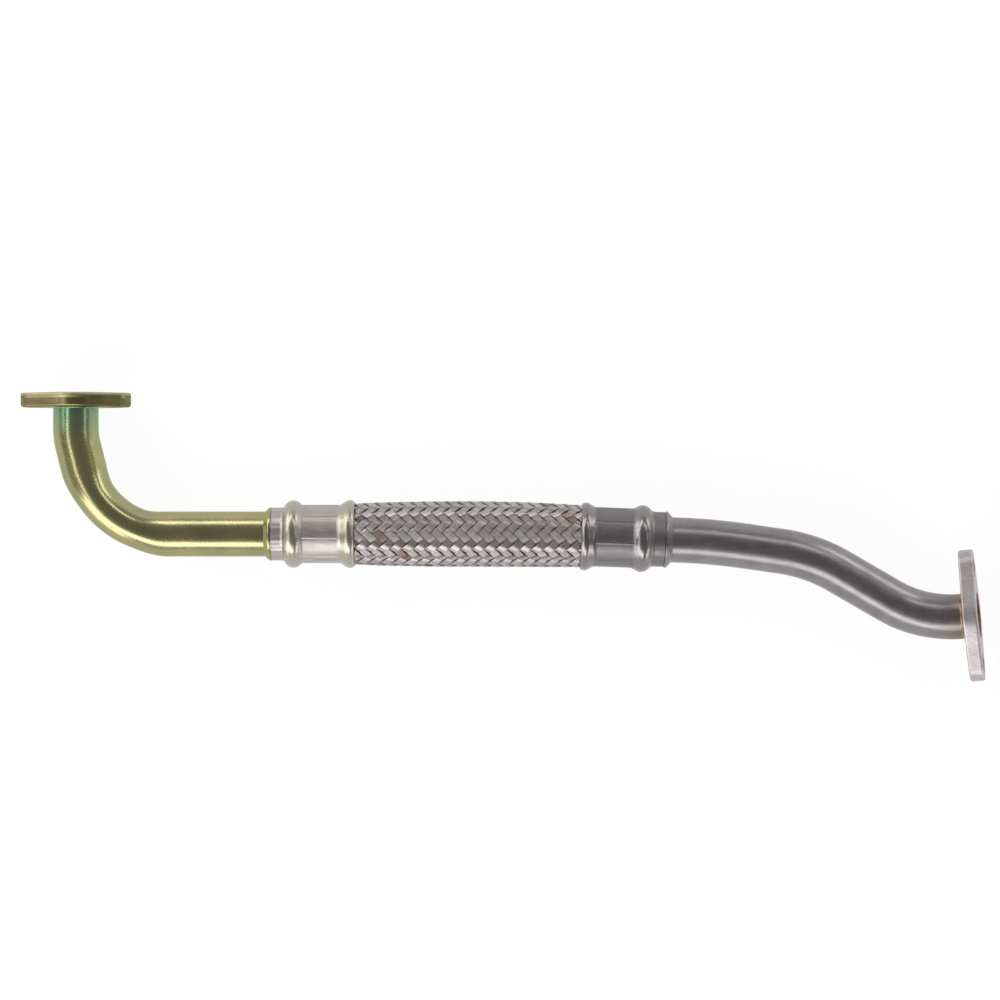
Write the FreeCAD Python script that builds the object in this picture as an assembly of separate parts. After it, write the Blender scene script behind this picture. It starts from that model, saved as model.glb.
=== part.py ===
"""Turbo oil return pipe: two bent steel tubes with brazed two-bolt flanges and a crimped, braided hose between them.

The pipe lies as it comes to rest. The hose runs along +X, the inlet flange's gasket face looks along +Y, and
+Z is up. Sizes are millimetres and degrees. A turned piece is drawn as (x, r) stations along its own axis,
which starts where the tube's stop bead meets the ferrule and points along the hose.
"""
import FreeCAD, Part
import math
import os
from dataclasses import dataclass
from FreeCAD import Placement, Rotation, Vector

# Tubes
TUBE_RADIUS = 9.5
TUBE_WALL = 1.5
TUBE_SETBACK = 1.0          # from a gasket face to the end of its tube

# Hose tails, which the tubes' ends are drawn down to
TAIL_RADIUS = 8.0
TAIL_WALL = 1.5
TAIL_SHOULDER = 1.5         # length of the cone between tube and tail
TAIL_END = 32.0             # from the stop bead to the tail's end
BARB_HEIGHT = 0.4
BARB_LENGTH = 5.0
BARB_COUNT = 3
TAIL_CHAMFER = 0.6

# Hose
HOSE_FREE_LENGTH = 94.8     # between the two ferrules' mouths
HOSE_BEND_LENGTH = 47.0     # the stretch before the outlet ferrule that isn't straight
HOSE_BEND_ANGLE = 2.25
LINER_BORE_RADIUS = 8.75
LINER_RADIUS = 11.6
CRIMPED_BRAID = 0.65        # the braid's thickness under a ferrule
HOSE_SETBACK = 0.8          # from the bottom of a ferrule's cup to the hose's end

# Braid: 18 bands of wire each way, two over and two under
BRAID_BANDS = 18
BRAID_FLOATS = 20           # floats along each of the rows
BRAID_START = 32.4          # where the first floats start, inside the inlet ferrule's mouth
BRAID_PITCH = 4.91          # along the hose, from one float to the next
BRAID_MID_RADIUS = 13.9     # over the floats' crowns, halfway along the hose
BRAID_TURN = -7.4           # where the first column of crossings stands, from +Z towards +Y
BRAID_SWELL = 0.62          # how soon the braid fills out beside the ferrules: less is sooner
FLOAT_RIM_DROP = 0.45       # from a float's crown down to its corners
FLOAT_DIVE_DROP = 0.8       # from a float's crown down to where it dives under its neighbour
FLOAT_ARCH_DROP = 0.12      # from a float's middle down to the middle of each half
DIVE_INSET = 0.12           # as shares of a band's width
DIVE_HALF_WIDTH = 0.32

# Fits between pieces
FIT_GAP = 0.05
BRAZE_GAP = 0.1             # between a tube and its flange, filled by the braze
EDGE_BREAK = 0.2            # on the edges that a stop bead and its ferrule turn to each other

# Centre lines, laid out as a bending table. Headings turn from +X towards +Y, rises turn up from the XY plane.
INLET_RUN = 43.5
INLET_BEND_RADIUS = 36.7
INLET_BEND_PRESS = 1.1      # how far the tight bend's inside and outside are pressed in
INLET_BEND_SPREAD = 0.5     # how far its other two sides spread
INLET_MID_HEADING = 104.07
INLET_MID_RUN = 9.8
INLET_TOP_BEND_RADIUS = 29.3
INLET_END_HEADING = 90.0
INLET_END_RUN = 8.8         # from the last bend to the flange's back

OUTLET_RUN = 6.3
OUTLET_BOW_RADIUS = 271.5
OUTLET_BOW_HEADING = -8.2
OUTLET_MID_RUN = 14.8
OUTLET_BEND_RADIUS = 66.7
OUTLET_SLOPE_HEADING = -29.9
OUTLET_SLOPE_RISE = -5.15
OUTLET_SLOPE_RUN = 25.0
OUTLET_END_BEND_RADIUS = 45.0
OUTLET_END_HEADING = 5.6
OUTLET_END_RISE = 14.0
OUTLET_END_RUN = 1.3


@dataclass(frozen=True)
class Ferrule:
    """A crimped sleeve: a neck on the tube, a bulge, a crimped waist on the hose and a flared mouth."""
    neck_length: float
    bulge_length: float
    waist_length: float
    flare_length: float
    neck_radius: float
    bulge_radius: float
    waist_radius: float
    flare_radius: float
    mouth_radius: float         # inside the mouth
    wall: float = 1.4
    ridge_height: float = 0.25  # the thin ridges that the crimping jaws leave between them
    ridge_width: float = 0.5
    ridge_count: int = 8
    ridge_turn: float = 0.0
    root_round: float = 1.3     # the hollow rounds at both ends of the bulge
    flare_root_round: float = 2.6

    @property
    def waist_start(self):
        return self.neck_length + self.bulge_length

    @property
    def waist_end(self):
        return self.waist_start + self.waist_length

    @property
    def length(self):
        return self.waist_end + self.flare_length

    @property
    def cup_start(self):
        """Where the cup that takes the hose's end starts, past the neck's wall."""
        return self.neck_length + self.wall

    @property
    def bulge_middle(self):
        return self.neck_length + 0.535 * self.bulge_length

    @property
    def waist_bore(self):
        return self.waist_radius - self.wall


@dataclass(frozen=True)
class Bead:
    """The stop bead rolled up on a tube in front of its ferrule."""
    radius: float
    width: float


@dataclass(frozen=True)
class Flange:
    """A two-bolt plate: two end arcs about the bolt holes and a wider middle about the tube."""
    bolt_spacing: float
    end_radius: float
    width: float
    thickness: float
    hole_radius: float
    rim_round: float            # rolled edge at the back
    face_break: float           # edge at the gasket face
    hole_break: float = 0.3
    braze_fillet: float = 1.2


INLET_FERRULE = Ferrule(neck_length=5.2, bulge_length=7.4, waist_length=16.0, flare_length=6.3,
                        neck_radius=11.1, bulge_radius=14.15, waist_radius=12.15, flare_radius=14.25,
                        mouth_radius=12.9, ridge_turn=-7.0)
OUTLET_FERRULE = Ferrule(neck_length=5.55, bulge_length=7.3, waist_length=16.65, flare_length=5.6,
                         neck_radius=11.5, bulge_radius=14.05, waist_radius=12.5, flare_radius=14.25,
                         mouth_radius=13.1, ridge_turn=11.0)
INLET_BEAD = Bead(radius=11.2, width=2.9)
OUTLET_BEAD = Bead(radius=11.85, width=3.1)
INLET_FLANGE = Flange(bolt_spacing=33.0, end_radius=6.6, width=28.4, thickness=6.0, hole_radius=3.4,
                      rim_round=1.2, face_break=0.8, braze_fillet=0.7)
OUTLET_FLANGE = Flange(bolt_spacing=40.0, end_radius=7.7, width=28.4, thickness=6.0, hole_radius=4.4,
                       rim_round=0.8, face_break=0.8)

OUTLET_MOUTH = INLET_FERRULE.length + HOSE_FREE_LENGTH
OUTLET_DATUM = OUTLET_MOUTH + OUTLET_FERRULE.length
OVAL_SHARES = (0, 0.1, 0.2, 0.3, 0.5, 0.7, 0.8, 0.9, 1)     # where an oval bend's sections stand
OVAL_BLEND = 0.3                                            # the share over which it turns from round to oval
X_AXIS = Vector(1, 0, 0)
Z_AXIS = Vector(0, 0, 1)


def direction(heading, rise=0.0):
    """The unit vector at a heading in the XY plane and a rise above it."""
    h, e = math.radians(heading), math.radians(rise)
    return Vector(math.cos(e) * math.cos(h), math.cos(e) * math.sin(h), math.sin(e))


def turned(steps, start=0.0, turn=360.0):
    """Turns a closed outline about the X axis.

    Each step is an (x, r) corner reached by a straight line, or a pair of them: a point that an arc passes
    through and the corner where it ends. The outline closes from the last corner to the first.
    """
    edges, here = [], Vector(*steps[0], 0)
    for step in list(steps[1:]) + [steps[0]]:
        if isinstance(step[0], tuple):
            through, end = Vector(*step[0], 0), Vector(*step[1], 0)
            edges.append(Part.Arc(here, through, end).toShape())
        else:
            end = Vector(*step, 0)
            edges.append(Part.LineSegment(here, end).toShape())
        here = end
    face = Part.Face(Part.Wire(edges))
    face.rotate(Vector(), X_AXIS, start)
    return face.revolve(Vector(), X_AXIS, turn)


class Arc:
    """A bend of a centre line, about an axis through its centre."""

    def __init__(self, start, heading, end_heading, radius):
        self.start = start
        self.heading = heading
        self.axis = heading.cross(end_heading).normalize()
        self.angle = math.degrees(heading.getAngle(end_heading))
        self.centre = start + self.axis.cross(heading) * radius

    def at(self, share):
        """The point at a share of the way round, and the heading there."""
        turn = Rotation(self.axis, self.angle * share)
        return self.centre + turn.multVec(self.start - self.centre), turn.multVec(self.heading)

    def edge(self):
        """The bend as an edge."""
        return Part.Arc(self.start, self.at(0.5)[0], self.at(1)[0]).toShape()

    def ring(self, share, radius, press, spread):
        """The bar's outline at a share of the way round, an oval that is shorter in the bend's own plane."""
        point, heading = self.at(share)
        oval = Part.Wire(Part.Ellipse(Vector(), radius + spread, radius - press).toShape())
        oval.Placement = Placement(point, Rotation(self.axis, heading.cross(self.axis), heading, "ZXY"))
        return oval

    def oval_bar(self, radius, press, spread):
        """A bar that is round at both ends of the bend and pressed oval between them."""
        rings = []
        for share in OVAL_SHARES:
            rise = min(share, 1 - share) / OVAL_BLEND
            pressed = 1.0 if rise >= 1 else rise * rise * (3 - 2 * rise)
            rings.append(self.ring(share, radius, press * pressed, spread * pressed))
        return Part.makeLoft(rings, True, False)


class Route:
    """A centre line of straight runs and tangent bends, followed leg by leg."""

    def __init__(self, start, heading):
        self.point = start
        self.heading = heading
        self.paths = [[]]           # each is a chain of edges along which the section stays round
        self.oval_bends = []

    def run(self, length):
        """Goes straight on."""
        end = self.point + self.heading * length
        self.paths[-1].append(Part.LineSegment(self.point, end).toShape())
        self.point = end

    def bend_to(self, heading, radius, press=0.0, spread=0.0):
        """Bends at the given radius until the line points along the new heading, pressed oval or left round."""
        arc = Arc(self.point, self.heading, heading, radius)
        if press:
            self.oval_bends.append((arc, press, spread))
            self.paths.append([])
        else:
            self.paths[-1].append(arc.edge())
        self.point = arc.at(1)[0]
        self.heading = heading

    def swept(self, radius):
        """A bar of the given radius along the whole line."""
        bars = [round_bar(edges, radius) for edges in self.paths]
        bars += [arc.oval_bar(radius, press, spread) for arc, press, spread in self.oval_bends]
        return bars[0].fuse(bars[1:]) if len(bars) > 1 else bars[0]


def round_bar(edges, radius):
    """A round bar along a chain of edges."""
    first = edges[0]
    start = first.valueAt(first.FirstParameter)
    ahead = first.tangentAt(first.FirstParameter)
    ring = Part.Wire(Part.makeCircle(radius, start, ahead))
    return Part.Wire(edges).makePipeShell([ring], True, False)


class HoseLine:
    """The hose's own centre line: straight from the inlet ferrule, then a slight bend to the outlet ferrule."""

    def __init__(self):
        self.bend_start = OUTLET_MOUTH - HOSE_BEND_LENGTH
        self.bend_radius = HOSE_BEND_LENGTH / math.radians(HOSE_BEND_ANGLE)
        self.end_heading = direction(-HOSE_BEND_ANGLE)

    def at(self, s):
        """The point at a distance along the line, and the heading there."""
        if s <= self.bend_start:
            return Vector(s, 0, 0), X_AXIS
        turn = min((s - self.bend_start) / self.bend_radius, math.radians(HOSE_BEND_ANGLE))
        past = max(s - OUTLET_MOUTH, 0.0)
        heading = Vector(math.cos(turn), -math.sin(turn), 0)
        bend = Vector(math.sin(turn), math.cos(turn) - 1, 0) * self.bend_radius
        return Vector(self.bend_start, 0, 0) + bend + heading * past, heading

    def outward(self, s, angle, radius):
        """The point at a radius from the line, the angle turning from +Z towards +Y."""
        point, heading = self.at(s)
        side = Z_AXIS.cross(heading)
        a = math.radians(angle)
        return point + (side * math.sin(a) + Z_AXIS * math.cos(a)) * radius

    def outlet_frame(self):
        """The placement of the outlet's turned pieces: their axis points back along the hose."""
        point, heading = self.at(OUTLET_DATUM)
        back = heading * -1
        return Placement(point, Rotation(back, Z_AXIS.cross(back), Z_AXIS, "ZXY"))


def inlet_route():
    """From the inlet's stop bead to the end of its tube in the flange."""
    route = Route(Vector(), X_AXIS * -1)
    route.run(INLET_RUN)
    route.bend_to(direction(INLET_MID_HEADING), INLET_BEND_RADIUS, INLET_BEND_PRESS, INLET_BEND_SPREAD)
    route.run(INLET_MID_RUN)
    route.bend_to(direction(INLET_END_HEADING), INLET_TOP_BEND_RADIUS)
    route.run(INLET_END_RUN + INLET_FLANGE.thickness - TUBE_SETBACK)
    return route


def outlet_route(hose):
    """From the outlet's stop bead to the end of its tube in the flange."""
    point, heading = hose.at(OUTLET_DATUM)
    route = Route(point, heading)
    route.run(OUTLET_RUN)
    route.bend_to(direction(OUTLET_BOW_HEADING), OUTLET_BOW_RADIUS)
    route.run(OUTLET_MID_RUN)
    route.bend_to(direction(OUTLET_SLOPE_HEADING, OUTLET_SLOPE_RISE), OUTLET_BEND_RADIUS)
    route.run(OUTLET_SLOPE_RUN)
    route.bend_to(direction(OUTLET_END_HEADING, OUTLET_END_RISE), OUTLET_END_BEND_RADIUS)
    route.run(OUTLET_END_RUN + OUTLET_FLANGE.thickness - TUBE_SETBACK)
    return route


def tail_blank(ferrule):
    """The drawn-down end of a tube, barbed to hold the hose, before it is bored."""
    shoulder = ferrule.neck_length + FIT_GAP
    barbs_start = TAIL_END - TAIL_CHAMFER - BARB_COUNT * BARB_LENGTH
    steps = [(0, 0), (0, TUBE_RADIUS), (shoulder, TUBE_RADIUS), (shoulder + TAIL_SHOULDER, TAIL_RADIUS)]
    for barb in range(BARB_COUNT):
        start = barbs_start + barb * BARB_LENGTH
        steps += [(start, TAIL_RADIUS), (start, TAIL_RADIUS + BARB_HEIGHT)]
    steps += [(TAIL_END - TAIL_CHAMFER, TAIL_RADIUS), (TAIL_END, TAIL_RADIUS - TAIL_CHAMFER), (TAIL_END, 0)]
    return turned(steps)


def tail_bore(ferrule):
    """What is bored out of a tail: the tube's bore, a cone and the tail's own bore."""
    tube_bore, tail_bore_radius = TUBE_RADIUS - TUBE_WALL, TAIL_RADIUS - TAIL_WALL
    cone_end = ferrule.neck_length + TAIL_SHOULDER
    return turned([(0, 0), (0, tube_bore), (ferrule.neck_length - TAIL_SHOULDER, tube_bore),
                   (cone_end, tail_bore_radius), (TAIL_END, tail_bore_radius), (TAIL_END, 0)])


def bead_ring(bead):
    """A stop bead that slopes up from its tube to a rounded crown and ends in a flat against the ferrule."""
    height = bead.radius - TUBE_RADIUS
    root = TUBE_RADIUS - 0.5 * TUBE_WALL
    slope_end = (-0.45 * bead.width, bead.radius - 0.2 * height)
    crown = ((-0.34 * bead.width, bead.radius - 0.05 * height), (-0.2 * bead.width, bead.radius))
    return turned([(-bead.width, root), (-bead.width, TUBE_RADIUS), slope_end, crown,
                   (-FIT_GAP - EDGE_BREAK, bead.radius), (-FIT_GAP, bead.radius - EDGE_BREAK), (-FIT_GAP, root)])


def tube(route, ferrule, bead, frame):
    """A bent tube with its stop bead and its barbed hose tail."""
    bar = route.swept(TUBE_RADIUS)
    tail = tail_blank(ferrule)
    ring = bead_ring(bead)
    bore = tail_bore(ferrule)
    for piece in (tail, ring, bore):
        piece.Placement = frame
    solid = bar.fuse([tail, ring]).removeSplitter()
    hollow = route.swept(TUBE_RADIUS - TUBE_WALL).fuse(bore)
    return solid.cut(hollow)


def ferrule_sleeve(ferrule):
    """A crimped ferrule, with the thin ridges that its waist keeps between the jaws' marks."""
    f = ferrule
    neck_bore = TUBE_RADIUS + FIT_GAP
    flare_rise = f.flare_radius - f.waist_radius
    body = turned([
        (0, neck_bore), (0, f.neck_radius - EDGE_BREAK), (EDGE_BREAK, f.neck_radius),
        (f.neck_length, f.neck_radius),
        ((f.bulge_middle, f.bulge_radius), (f.waist_start, f.waist_radius)),
        (f.waist_end, f.waist_radius),
        (f.waist_end + 0.4 * f.flare_length, f.waist_radius + 0.76 * flare_rise),
        ((f.waist_end + 0.72 * f.flare_length, f.flare_radius), (f.length, f.flare_radius - 0.42 * flare_rise)),
        (f.length, f.mouth_radius), (f.waist_end, f.waist_bore),
        (f.waist_start + 0.2, f.waist_bore),
        ((f.bulge_middle + 0.6, f.bulge_radius - f.wall), (f.cup_start + 0.3, f.waist_bore + 0.4)),
        (f.cup_start, neck_bore)])
    body = body.makeFillet(f.root_round, circles_at(body, (f.neck_length, f.neck_radius),
                                                    (f.waist_start, f.waist_radius)))
    body = body.makeFillet(f.flare_root_round, circles_at(body, (f.waist_end, f.waist_radius)))
    ridges = [waist_ridge(f, f.ridge_turn + index * 360.0 / f.ridge_count) for index in range(f.ridge_count)]
    return body.fuse(ridges)


def circles_at(body, *stations):
    """The round edges of a turned body at the given (x, r) stations."""
    found = []
    for edge in body.Edges:
        box = edge.BoundBox
        if box.XLength < 1e-3 and any(abs(box.XMin - x) < 1e-2 and abs(box.YMax - r) < 1e-2 for x, r in stations):
            found.append(edge)
    return found


def waist_ridge(ferrule, angle):
    """One thin ridge along a ferrule's waist."""
    base, top = ferrule.waist_radius - 0.3, ferrule.waist_radius + ferrule.ridge_height
    half = ferrule.ridge_width / 2
    start, end = ferrule.waist_start + 0.5, ferrule.waist_end - 0.3
    corners = [Vector(start, -half, base), Vector(start, half, base), Vector(start, 0, top)]
    ridge = Part.Face(Part.makePolygon(corners + corners[:1])).extrude(Vector(end - start, 0, 0))
    ridge.rotate(Vector(), X_AXIS, -angle)
    return ridge


def hose_end_stations(ferrule):
    """The braid's outer radius under a ferrule, as stations from the hose's end to the floats' start."""
    crimped = ferrule.waist_bore - FIT_GAP
    return [(ferrule.cup_start + HOSE_SETBACK, crimped + 0.3),
            (ferrule.bulge_middle + 0.6, ferrule.bulge_radius - ferrule.wall - 0.3),
            (ferrule.waist_start + 0.2, crimped), (ferrule.waist_end, crimped)]


def liner_end(ferrule):
    """The liner under a ferrule, squeezed between the braid and the barbed tail, as far as the mouth."""
    grip = TAIL_RADIUS + BARB_HEIGHT + FIT_GAP
    outer = [(x, r - CRIMPED_BRAID - FIT_GAP) for x, r in hose_end_stations(ferrule)]
    start, mouth = outer[0][0], ferrule.length
    return turned([(start, grip)] + outer + [(mouth, LINER_RADIUS), (mouth, LINER_BORE_RADIUS),
                                             (TAIL_END + 0.2, grip)])


def hose_liner(hose):
    """The smooth inner hose, from one ferrule's cup to the other's."""
    inlet_end = liner_end(INLET_FERRULE)
    outlet_end = liner_end(OUTLET_FERRULE)
    outlet_end.Placement = hose.outlet_frame()
    span = Route(*hose.at(INLET_FERRULE.length))
    span.run(hose.bend_start - INLET_FERRULE.length)
    span.bend_to(hose.end_heading, hose.bend_radius)
    free = span.swept(LINER_RADIUS).cut(span.swept(LINER_BORE_RADIUS))
    return free.fuse([inlet_end, outlet_end]).removeSplitter()


class Braid:
    """The wire braid as one wall with a ridge for each float.

    Crossings stand in columns along the hose, 2 for each band, and alternate along each column. Two columns
    side by side show the bands that lean one way, and the next two the bands that lean the other way, so the
    floats, each over two crossings, lie in rows along the hose.
    """

    def __init__(self, hose):
        self.hose = hose
        self.columns = 2 * BRAID_BANDS
        self.half_pitch = BRAID_PITCH / 2
        self.points = []
        self.index = {}
        self.facets = []

    def crown(self, s):
        """The radius over the floats: fuller in the middle, and following each ferrule's flare inwards."""
        inlet_mouth, outlet_mouth = INLET_FERRULE.length, OUTLET_MOUTH
        r_in, r_out = INLET_FERRULE.mouth_radius - FIT_GAP, OUTLET_FERRULE.mouth_radius - FIT_GAP
        if s < inlet_mouth:
            return self.flare(INLET_FERRULE, r_in, inlet_mouth - s)
        if s > outlet_mouth:
            return self.flare(OUTLET_FERRULE, r_out, s - outlet_mouth)
        t = (s - inlet_mouth) / (outlet_mouth - inlet_mouth)
        level = r_in + (r_out - r_in) * t
        return level + (BRAID_MID_RADIUS - level) * math.sin(math.pi * t) ** BRAID_SWELL

    def flare(self, ferrule, mouth, depth):
        """The crown's radius at a depth inside a ferrule's mouth."""
        crimped = ferrule.waist_bore - FIT_GAP
        return mouth + (crimped - mouth) * min(depth / ferrule.flare_length, 1.0)

    def vertex(self, s, angle, radius):
        """Adds a point and returns its number."""
        self.points.append(self.hose.outward(s, angle, radius))
        return len(self.points) - 1

    def lattice(self, m, k, drop):
        """A point at m half pitches along and k columns round, at a drop below the crown."""
        s = BRAID_START + m * self.half_pitch
        angle = BRAID_TURN + k * 360.0 / self.columns
        return self.vertex(s, angle, self.crown(s) - drop)

    def corner(self, m, k):
        """A corner that neighbouring floats share."""
        key = (round(m), round(k) % self.columns)
        if key not in self.index:
            self.index[key] = self.lattice(key[0], key[1], FLOAT_RIM_DROP)
        return self.index[key]

    def add_facets(self, facets, flip):
        """Adds triangles, turned over where their outline runs the other way round."""
        self.facets += [(a, c, b) if flip else (a, b, c) for a, b, c in facets]

    def add_float(self, m, k, lean):
        """One float, whose length a runs from 0 to 2 band widths and whose width b from -0.5 to 0.5.

        Its corners are low, its crown is arched along its length, and each end dives under the band that
        crosses it there. A lean of -1 turns down as it goes along the hose, and 1 turns up.
        """
        def place(a, b):
            return m - 0.5 + a + b, k - lean * 0.5 + lean * (a - b)

        def inner(a, b, drop):
            return self.lattice(*place(a, b), drop)

        near, far, width = DIVE_INSET, 2 - DIVE_INSET, DIVE_HALF_WIDTH
        r0, r1, r2 = (self.corner(*place(a, -0.5)) for a in (0, 1, 2))
        r5, r4, r3 = (self.corner(*place(a, 0.5)) for a in (0, 1, 2))
        i0, i1 = inner(near, -width, FLOAT_DIVE_DROP), inner(near, width, FLOAT_DIVE_DROP)
        i2, i3 = inner(far, -width, FLOAT_DIVE_DROP), inner(far, width, FLOAT_DIVE_DROP)
        c1, c2, c3 = inner(0.5, 0, FLOAT_ARCH_DROP), inner(1, 0, 0), inner(1.5, 0, FLOAT_ARCH_DROP)
        self.add_facets([
            (r0, i0, i1), (r0, i1, r5), (i0, c1, i1),
            (r0, r1, i0), (r1, c1, i0), (r1, c2, c1), (r1, c3, c2), (r1, i2, c3), (r1, r2, i2),
            (r5, i1, r4), (i1, c1, r4), (c1, c2, r4), (c2, c3, r4), (c3, i3, r4), (i3, r3, r4),
            (i2, i3, c3), (r2, r3, i3), (r2, i3, i2)], flip=lean > 0)

    def add_rows(self):
        """Every float: rows that lean down and rows that lean up, in turn round the hose."""
        for row in range(BRAID_BANDS // 2):
            for step in range(BRAID_FLOATS):
                self.add_float(2 * step + 1, 4 * row + 1, -1)
                self.add_float(2 * step, 4 * row + 2, 1)

    def edge_loop(self, base, way):
        """The corners along one end of the rows, one for each column, which zigzag by a half pitch."""
        steps = {0: 1, 1: 0, 2: -1, 3: 0}
        return [self.corner(base + way * steps[k % 4], k) for k in range(self.columns)]

    def ring(self, s, radius):
        """A plain ring of points, one for each column."""
        return [self.vertex(s, BRAID_TURN + k * 360.0 / self.columns, radius) for k in range(self.columns)]

    def join(self, loops):
        """Bands of facets from each loop of points to the next."""
        for near, far in zip(loops, loops[1:]):
            for k in range(self.columns):
                n = (k + 1) % self.columns
                self.add_facets([(near[k], far[k], far[n]), (near[k], far[n], near[n])], flip=False)

    def solid(self):
        """The whole wall: the floats outside, plain crimped ends, and a smooth inside against the liner."""
        self.add_rows()
        inlet = hose_end_stations(INLET_FERRULE)
        outlet = [(OUTLET_DATUM - x, r) for x, r in hose_end_stations(OUTLET_FERRULE)]
        smooth = LINER_RADIUS + 2 * FIT_GAP
        free = [INLET_FERRULE.length + HOSE_FREE_LENGTH * i / 6 for i in range(7)]
        inside = [(x, r - CRIMPED_BRAID) for x, r in inlet] + [(x, smooth) for x in free]
        inside += [(x, r - CRIMPED_BRAID) for x, r in reversed(outlet)]
        inner = [self.ring(x, r / math.cos(math.pi / self.columns)) for x, r in inside]
        start = [self.ring(x, r) for x, r in inlet]
        end = [self.ring(x, r) for x, r in reversed(outlet)]
        self.join([inner[0]] + start + [self.edge_loop(0, 1)])
        self.join([self.edge_loop(2 * BRAID_FLOATS, 1)] + end + [inner[-1]])
        self.join(list(reversed(inner)))
        shell = Part.Shape()
        shell.makeShapeFromMesh((self.points, self.facets), 0.001, False)
        return Part.Solid(Part.Shell(shell.Faces))


def flange_outline(flange):
    """The plate's outline: arcs about the tube and the bolts, joined by tangent lines."""
    half, reach, end = flange.width / 2, flange.bolt_spacing / 2, flange.end_radius
    tangent = math.acos((half - end) / reach)
    c, s = math.cos(tangent), math.sin(tangent)
    on_middle, on_end = (half * c, half * s), (reach + end * c, end * s)

    def at(point, x_side, y_side):
        return Vector(point[0] * x_side, point[1] * y_side, 0)

    return Part.Wire([
        Part.Arc(at(on_end, 1, -1), Vector(reach + end, 0, 0), at(on_end, 1, 1)).toShape(),
        Part.LineSegment(at(on_end, 1, 1), at(on_middle, 1, 1)).toShape(),
        Part.Arc(at(on_middle, 1, 1), Vector(0, half, 0), at(on_middle, -1, 1)).toShape(),
        Part.LineSegment(at(on_middle, -1, 1), at(on_end, -1, 1)).toShape(),
        Part.Arc(at(on_end, -1, 1), Vector(-reach - end, 0, 0), at(on_end, -1, -1)).toShape(),
        Part.LineSegment(at(on_end, -1, -1), at(on_middle, -1, -1)).toShape(),
        Part.Arc(at(on_middle, -1, -1), Vector(0, -half, 0), at(on_middle, 1, -1)).toShape(),
        Part.LineSegment(at(on_middle, 1, -1), at(on_end, 1, -1)).toShape()])


def rim_edges(solid, height):
    """The edges of a plate that lie all the way round one of its two faces."""
    return [edge for edge in solid.Edges
            if all(abs(vertex.Point.z - height) < 1e-6 for vertex in edge.Vertexes)]


def flange_plate(flange):
    """A flange with its gasket face in the XY plane, looking along +Z, and its bolts along X."""
    plate = Part.Face(flange_outline(flange)).extrude(Vector(0, 0, -flange.thickness))
    plate = plate.makeFillet(flange.rim_round, rim_edges(plate, -flange.thickness))
    plate = plate.makeFillet(flange.face_break, rim_edges(plate, 0))
    cuts = [Part.makeCylinder(TUBE_RADIUS + BRAZE_GAP, flange.thickness, Vector(0, 0, -flange.thickness))]
    for side in (-1, 1):
        centre = Vector(side * flange.bolt_spacing / 2, 0, 0)
        cuts.append(bolt_hole(flange, centre))
    return plate.cut(cuts)


def bolt_hole(flange, centre):
    """A bolt hole with both its edges broken."""
    r, b, t = flange.hole_radius, flange.hole_break, flange.thickness
    hole = turned([(0, 0), (0, r + b), (b, r), (t - b, r), (t, r + b), (t, 0)])
    hole.Placement = Placement(centre, Rotation(Vector(0, 1, 0), 90))
    return hole


def braze_ring(flange):
    """The braze: a hollow fillet at the flange's back, a film in the joint and a fillet over the tube's end."""
    t, f = flange.thickness, flange.braze_fillet
    tube_radius, bore = TUBE_RADIUS, TUBE_RADIUS + BRAZE_GAP
    end = -TUBE_SETBACK
    inner = end + 0.4 * TUBE_SETBACK
    hollow = (-t - 0.3 * f, tube_radius + 0.3 * f)
    return turned([(-t - f, tube_radius), (hollow, (-t, bore + f)), (-t, bore), (inner, bore),
                   (end, tube_radius - 0.4 * TUBE_WALL), (end, tube_radius)])


def flange_frame(face_centre, heading):
    """The placement of a flange whose bolts stand level, given its gasket face's centre and its outward way."""
    level = Z_AXIS.cross(heading).normalize()
    return Placement(face_centre, Rotation(level, heading.cross(level), heading, "ZXY"))


def braze_frame(face_centre, heading):
    """The placement of a turned piece whose axis points out of a flange's gasket face."""
    level = Z_AXIS.cross(heading).normalize()
    return Placement(face_centre, Rotation(heading, level, heading.cross(level), "XYZ"))


def build():
    """All pieces, by name, before they are set down on their common origin."""
    hose = HoseLine()
    inlet, outlet = inlet_route(), outlet_route(hose)
    inlet_face = inlet.point + inlet.heading * TUBE_SETBACK
    outlet_face = outlet.point + outlet.heading * TUBE_SETBACK
    outlet_frame = hose.outlet_frame()
    pieces = {
        "inlet_tube": tube(inlet, INLET_FERRULE, INLET_BEAD, Placement()),
        "outlet_tube": tube(outlet, OUTLET_FERRULE, OUTLET_BEAD, outlet_frame),
        "inlet_ferrule": ferrule_sleeve(INLET_FERRULE),
        "outlet_ferrule": ferrule_sleeve(OUTLET_FERRULE),
        "hose_liner": hose_liner(hose),
        "hose_braid": Braid(hose).solid(),
        "inlet_flange": flange_plate(INLET_FLANGE),
        "outlet_flange": flange_plate(OUTLET_FLANGE),
        "inlet_braze": braze_ring(INLET_FLANGE),
        "outlet_braze": braze_ring(OUTLET_FLANGE),
    }
    pieces["outlet_ferrule"].Placement = outlet_frame
    pieces["inlet_flange"].Placement = flange_frame(inlet_face, inlet.heading)
    pieces["outlet_flange"].Placement = flange_frame(outlet_face, outlet.heading)
    pieces["inlet_braze"].Placement = braze_frame(inlet_face, inlet.heading)
    pieces["outlet_braze"].Placement = braze_frame(outlet_face, outlet.heading)
    return pieces


def origin_of(pieces):
    """The middle of the whole pipe's footprint, at the height of its lowest point."""
    box = Part.makeCompound(list(pieces.values())).optimalBoundingBox(False)
    return Vector(box.Center.x, box.Center.y, box.ZMin)


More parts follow.
